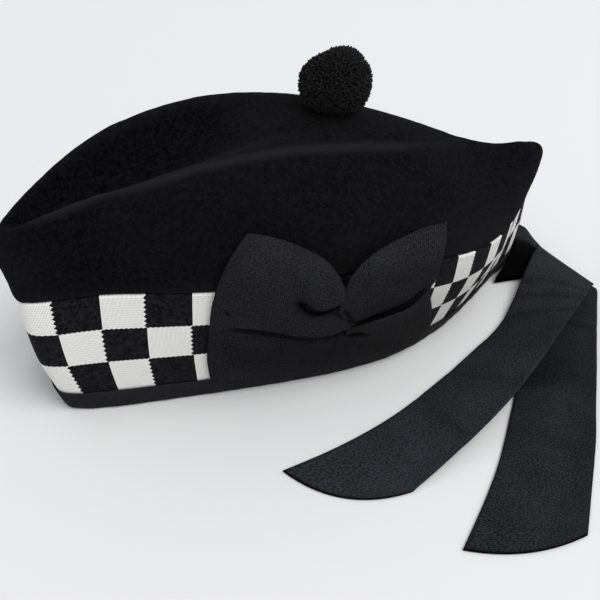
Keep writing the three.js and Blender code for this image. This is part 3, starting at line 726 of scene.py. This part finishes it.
def bow_panel(name, table, front_fold, back_fold):
    rough = np.array(table, float)
    columns = list(rough.transpose(1, 0, 2))
    if front_fold:
        columns = folded_end(rough, 0, 1)[::-1] + columns
    if back_fold:
        columns = columns + folded_end(rough, -1, -2)
    columns = np.array(columns)
    wide_lines = spline(columns, stations(columns, BOW_GRAIN)).transpose(1, 0, 2)
    fine = spline(wide_lines, stations(wide_lines, BOW_GRAIN))
    high, wide = fine.shape[:2]
    face_out = np.cross(np.gradient(fine, axis=1), np.gradient(fine, axis=0))
    face_out /= np.linalg.norm(face_out, axis=-1, keepdims=True)
    on_face = (face_out[..., 1] < 0)[..., None]
    for start, end, depth, width in BOW_DENTS[name]:
        seen = fine[..., SIDE_VIEW].reshape(-1, 2)
        away = near_line(seen, np.array([start, end]))[0].reshape(high, wide)
        fine = fine - on_face * face_out * (depth * np.exp(-((away / width) ** 2)))[..., None]
    fine = fine * MM
    piece = mesh_piece(name, fine.reshape(-1, 3), quads(wide, high))
    dark = np.zeros(high * wide)
    for line, width, strength in BOW_SHADE[name]:
        seen = fine.reshape(-1, 3)[:, SIDE_VIEW]
        away = near_line(seen, np.array(line) * MM)[0] / (width * MM)
        dark = np.maximum(dark, strength * np.exp(-(away**2)))
    # The bow's painted shade goes into the same mark as the tails' singed ends
    mark(piece, "singed_ends_and_painted_shade", dark)
    lay_flat(piece, "ribbon", wide, mean_lengths(fine, 1), mean_lengths(fine, 0))
    use_modifier(piece, "SOLIDIFY", thickness=BOW_THICKNESS, offset=-1)
    return piece


bow_parts = [
    bow_panel("bow_lower", BOW_LOWER, True, True),
    bow_panel("bow_front_petal", BOW_FRONT_PETAL, True, False),
    bow_panel("bow_back_petal", BOW_BACK_PETAL, False, True),
]
for part in bow_parts:
    part.select_set(True)
bow = bow_parts[0]
bpy.context.view_layer.objects.active = bow
bpy.ops.object.join()
bow.name = "bow_ribbon_folds"
bpy.ops.object.shade_smooth()
bow.data.materials.append(ribbon_material("bow_ribbon", 0.95 * MM, BOW_DEEP, BOW_RIBS, 0.006))
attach(bow, "root")
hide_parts("bow_ribbon")

# Toorie
# A ball of black wool: yarn wound, tied through the middle, cut and trimmed round, so that
# all that shows is the cut ends of the yarn. Sewn to the crown through its tie.
TOORIE_CENTRE = Vector((0.008645, 0.063568, 0.1372))
TOORIE_CORE = 11.8 * MM
TOORIE_REACH = 17.5
# To the right and upward, as seen from its left
TOORIE_SIDE = Vector((0.9285, -0.3714, 0))
TOORIE_TOP = Vector((0.2485, 0.6213, 0.743))
# How it is trimmed round that view: a turn in degrees from the right, and a reach in mm
TOORIE_TRIM = [
    (-180, 17.2), (-150, 17.4), (-120, 15.6), (-90, 14.4), (-60, 15.6), (-39, 17.4), (-20, 17.2),
    (0, 17.2), (24, 17.5), (41, 17.1), (55, 17.5), (69, 16.9), (83, 15.9), (101, 14.4), (120, 13.9),
    (137, 14.8), (160, 16.6), (180, 17.2),
]
YARN_SEED = 5
YARN_ENDS = 5400
YARN_HALF = 0.43 * MM
YARN_SCATTER = 0.05
YARN_UNEVEN = (0.92, 1.0)
YARN_ROOT = 0.92 * TOORIE_CORE
YARN_LEAN = 0.9 * MM
YARN_TWIST = 0.4
YARN_ROOT_SHADE = 0.35
# Each end's rings of corners: how far out, and how wide
YARN_RINGS = ((0.0, 0.9), (0.55, 1.0), (0.9, 1.0), (1.0, 0.55))
YARN_CORNERS = (0, math.pi / 2, math.pi, 3 * math.pi / 2)
FELT_SEARCH = 20 * MM
FELT_CLEAR = 0.3 * MM
WOOL_DEEP = (0.0008, 0.0008, 0.0009, 1)
WOOL_ENDS = (0.0165, 0.0166, 0.018, 1)
trim_turns, trim_reach = np.array(TOORIE_TRIM).T
chance = random.Random(YARN_SEED)
felt_top = BVHTree.FromObject(crown, bpy.context.evaluated_depsgraph_get())
bpy.ops.object.select_all(action="DESELECT")
bpy.ops.mesh.primitive_ico_sphere_add(subdivisions=4, radius=TOORIE_CORE, location=TOORIE_CENTRE)
toorie = bpy.context.object
toorie.name = "toorie_wool"
bpy.ops.object.transform_apply()
shape = bmesh.new()
shape.from_mesh(toorie.data)
yarn_shade = shape.verts.layers.float.new("yarn")
golden = math.pi * (3 - math.sqrt(5))
for k in range(YARN_ENDS):
    height = 1 - (2 * k + 1) / YARN_ENDS
    ring_size = math.sqrt(1 - height * height)
    out = Vector((ring_size * math.cos(k * golden), ring_size * math.sin(k * golden), height))
    out = (out + Vector([chance.gauss(0, YARN_SCATTER) for _ in range(3)])).normalized()
    sideways, upward = out.dot(TOORIE_SIDE), out.dot(TOORIE_TOP)
    trimmed = np.interp(math.degrees(math.atan2(upward, sideways)), trim_turns, trim_reach)
    reach = TOORIE_REACH + (trimmed - TOORIE_REACH) * (sideways * sideways + upward * upward)
    reach = reach * MM * chance.uniform(*YARN_UNEVEN)
    hit = felt_top.ray_cast(TOORIE_CENTRE, out, FELT_SEARCH)
    if hit[0] is not None:
        reach = min(reach, hit[3] - FELT_CLEAR)
    side = out.orthogonal().normalized()
    other = out.cross(side)
    lean = (side * chance.gauss(0, 1) + other * chance.gauss(0, 1)) * YARN_LEAN
    tone = chance.random()
    rings = []
    for part, width in YARN_RINGS:
        centre = TOORIE_CENTRE + out * (YARN_ROOT + (reach - YARN_ROOT) * part) + lean * part * part
        twist = chance.uniform(0, YARN_TWIST)
        ring = []
        for turn in YARN_CORNERS:
            sidestep = side * math.cos(turn + twist) + other * math.sin(turn + twist)
            corner = shape.verts.new(centre + sidestep * YARN_HALF * width)
            # Each yarn's random tone, painted darker toward the core as painted shade inside the ball
            corner[yarn_shade] = tone * (YARN_ROOT_SHADE + (1 - YARN_ROOT_SHADE) * part)
            ring.append(corner)
        rings.append(ring)
    for low, top in zip(rings, rings[1:]):
        for a in range(4):
            shape.faces.new((low[a], low[(a + 1) % 4], top[(a + 1) % 4], top[a]))
    shape.faces.new(rings[-1])
shape.to_mesh(toorie.data)
shape.free()
bpy.ops.object.shade_smooth()
wool, tree, shader = new_material("black_wool")
hairs = node(tree, "ShaderNodeGroup", {"Size": 0.8}, node_tree=wool_hairs).outputs
tone = shared(tree, marked(tree, "yarn"), spread(tree, hairs["Patch"], 0.35, 0.65), 0.75)
colour = blend_colour(tree, tone, WOOL_DEEP, WOOL_ENDS)
finish_cloth(tree, shader, colour, hairs["Height"], bump=(0.6, 0.4 * MM), smoother=tone, rough=(0.98, 0.9),
             gloss=0.05, sheen=(0.04, 0.5))
toorie.data.materials.append(wool)
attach(toorie, "root")
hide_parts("toorie")

# Tails
# Two lengths of black ribbed ribbon, sewn in the foot of the back seam. They run out along
# the table, fold back over themselves and lie toward the front, one partly over the other.
# Their ends are cut on a curve and singed.
TAIL_THICKNESS = 0.8 * MM
TAIL_PITCH = 0.8 * MM
TAIL_SHEEN = 0.004
TAIL_COLUMNS = 25
TAIL_STEPS = 14
TAIL_REST = 0.55 * MM
SINGED_EDGE = 0.9 * MM
CREASE_WIDTH = 0.17
CREASE_SHADE = 0.55
# Painted shadow over the root beside the cap: it ends at this row and starts this far across the ribbon
ROOT_SHADOW_TO = 2.6
ROOT_SHADOW_FROM, ROOT_SHADOW_BLEND = 0.3, 0.12
UPPER_DEEP = (0.0085, 0.0086, 0.0094, 1)
UPPER_RIBS = (0.0285, 0.0295, 0.0363, 1)
# The lower tail is the same ribbon as the upper, painted darker as painted shade
LOWER_SHADED_DEEP = (0.0054, 0.0055, 0.0062, 1)
LOWER_SHADED_RIBS = (0.0223, 0.0231, 0.0274, 1)
# Rows run from the seam to the free end and hold the two selvedges, far and near, in mm, with
# how far the row bows out and arches up between them
TAIL_UPPER = [
    ((129.1, 78.6, 7), (103.6, 45.6, 0.6), -6.5, 8),
    ((140.8, 77, 8), (128.1, 40.1, 0.6), -1.5, 0),
    ((145.1, 72.1, 2.4), (144.1, 26.6, 0.6), 0, 0),
    ((145.3, 66.8, 1.4), (148.1, 23.6, 0.8), 0, 0),
    ((143.7, 62.5, 3), (150.6, 19.1, 5), 0, 0),
    ((139.8, 58.5, 6), (147.6, 16, 9), 0, 0),
    ((131.5, 51.5, 8), (141.1, 11.1, 11), 0, 0),
    ((117.7, 38.9, 7.5), (134.6, 6.1, 12.5), 0, 0),
    ((103.1, 25.4, 4.5), (121.6, -2.9, 14.5), 0, 0),
    ((86.6, 12.1, 2.6), (104.1, -14.9, 16.5), 0, 0),
    ((65.1, 1.1, 2.4), (81.1, -30.4, 17.5), 0, 0),
    ((45.4, -7.9, 2), (58.1, -43.9, 16.5), 0, 0),
    ((27.1, -15.4, 1.6), (37.6, -52.9, 13), 0, 0),
    ((10.1, -21.7, 1.2), (20.1, -58.7, 8.5), 0, 0),
    ((-8.9, -26.8, 0.9), (5.1, -63.1, 4), 0, 0),
    ((-30.9, -30.8, 0.7), (-2.4, -65, 1.4), 5, 0),
    ((-55.7, -33.4, 0.6), (-5.3, -66, 0.7), 9.3, 0),
]
TAIL_LOWER = [
    ((129.1, 78.6, 9.6), (103.6, 45.6, 3.2), -6.5, 8),
    ((138.6, 75.6, 10.2), (128.6, 37.6, 3), -1.5, 0),
    ((139.6, 67.2, 5), (141.3, 21.2, 1.9), 0, 0),
    ((139.9, 62.4, 3.2), (149, 20.8, 2.1), 0, 0),
    ((140, 59.6, 3.2), (151, 17.6, 3.8), 0, 0),
    ((137.4, 56.8, 4.4), (149, 13, 5.8), 0, 0),
    ((127.6, 48.6, 6), (141.4, 2.6, 6.6), 0, 0),
    ((111.1, 32.1, 4), (133.1, -9.2, 6), 0, 0),
    ((95.1, 9.3, 1.6), (126.6, -18.5, 5), 0, 0),
    ((81.4, -10.5, 0.8), (113.1, -38.1, 3), 0, 0),
    ((69.2, -31.8, 0.7), (100.6, -55.4, 1.8), 0, 0),
    ((55.6, -47.9, 0.7), (88.9, -72, 1), 0, 0),
    ((38.5, -66.9, 0.6), (70.2, -95.2, 0.6), 0, 0),
    ((22.1, -82.4, 0.6), (60.1, -107.6, 0.6), 3, 0),
    ((0.7, -100.7, 0.6), (54.6, -114.3, 0.6), 5, 0),
]
# Creases: the row, how many rows it slants by, and the depth in mm
UPPER_CREASES = [
    (6.8, 0.9, 0.5), (7.5, 0.8, 0.6), (8.3, 0.8, 0.6), (9.2, 0.6, 0.4), (10.8, 0.3, 0.35),
    (12.4, -0.3, 0.3),
]
LOWER_CREASES = [(7.6, 0.5, 0.5), (8.5, 0.5, 0.25), (9.45, 0.75, 0.35), (11.2, -0.2, 0.3)]
# Painted shade: the row and the darkness at the far and the near selvedge, and the reach before and after
UPPER_SHADES = [((8.9, 0.17), (8.7, 0.19), 1.0, 0.9)]
LOWER_SHADES = [((9.85, 0.52), (9.1, 0.22), 1.2, 0.07)]


def tail_piece(name, rows, creases, shades):
    part = np.linspace(0, 1, TAIL_COLUMNS)
    middle = (4 * part * (1 - part))[:, None]
    lines = []
    for far, near, bow_out, arch in rows:
        far, near = np.array(far), np.array(near)
        across = near - far
        onward = np.array([across[1], -across[0], 0]) / np.hypot(across[0], across[1])
        bent = middle * (bow_out * onward + np.array([0, 0, arch]))
        lines.append(far + part[:, None] * across + bent)
    steps = (len(rows) - 1) * TAIL_STEPS + 1
    at = np.linspace(0, len(rows) - 1, steps)
    fine = spline(np.array(lines), at) * MM
    dim = np.zeros((steps, TAIL_COLUMNS))
    for row, slant, depth in creases:
        crease = np.exp(-(((at[:, None] - row + slant * (part - 0.5)) / CREASE_WIDTH) ** 2))
        fine[..., 2] -= depth * MM * crease
        # Painted shade along each crease
        dim = np.maximum(dim, CREASE_SHADE * depth * crease)
    for (far_row, far_dark), (near_row, near_dark), before, after in shades:
        away = at[:, None] - (far_row + (near_row - far_row) * part)
        reach = np.where(away < 0, before, after)
        dark = far_dark + (near_dark - far_dark) * part
        dim = np.maximum(dim, dark * np.exp(-((away / reach) ** 2)))
    fine[..., 2] = np.maximum(fine[..., 2], TAIL_REST)
    piece = mesh_piece(name, fine.reshape(-1, 3), quads(TAIL_COLUMNS, steps))
    spans = np.linalg.norm(np.diff(fine, axis=0), axis=-1)
    lengths = np.concatenate([np.zeros((1, TAIL_COLUMNS)), np.cumsum(spans, axis=0)])
    end = np.exp(-(((lengths[-1] - lengths) / SINGED_EDGE) ** 2))
    across_root = np.clip((part - ROOT_SHADOW_FROM) / ROOT_SHADOW_BLEND, 0, 1)
    root = np.clip(ROOT_SHADOW_TO - at, 0, 1)[:, None] * across_root
    # The singed ends are real; the dark root and the crease and crossing darkening are painted shade
    mark(piece, "singed_ends_and_painted_shade", np.maximum(np.maximum(end, root), dim))
    width = np.linalg.norm(fine[steps // 2, -1] - fine[steps // 2, 0])
    chart = piece.data.uv_layers.new(name="ribbon")
    for loop in piece.data.loops:
        row, column = divmod(loop.vertex_index, TAIL_COLUMNS)
        chart.data[loop.index].uv = (lengths[row].mean(), width * part[column])
    use_modifier(piece, "SOLIDIFY", thickness=TAIL_THICKNESS, offset=0)
    bpy.ops.object.shade_smooth()
    return piece


upper_ribbon = ribbon_material("tail_upper_ribbon", TAIL_PITCH, UPPER_DEEP, UPPER_RIBS, TAIL_SHEEN)
lower_ribbon = ribbon_material("tail_lower_ribbon", TAIL_PITCH, LOWER_SHADED_DEEP, LOWER_SHADED_RIBS, TAIL_SHEEN)
upper = tail_piece("tail_upper_ribbon", TAIL_UPPER, UPPER_CREASES, UPPER_SHADES)
lower = tail_piece("tail_lower_ribbon", TAIL_LOWER, LOWER_CREASES, LOWER_SHADES)
for piece, solid, ribbon in ((upper, "tail_upper", upper_ribbon), (lower, "tail_lower", lower_ribbon)):
    piece.data.materials.append(ribbon)
    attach(piece, "root")
    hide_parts(solid)
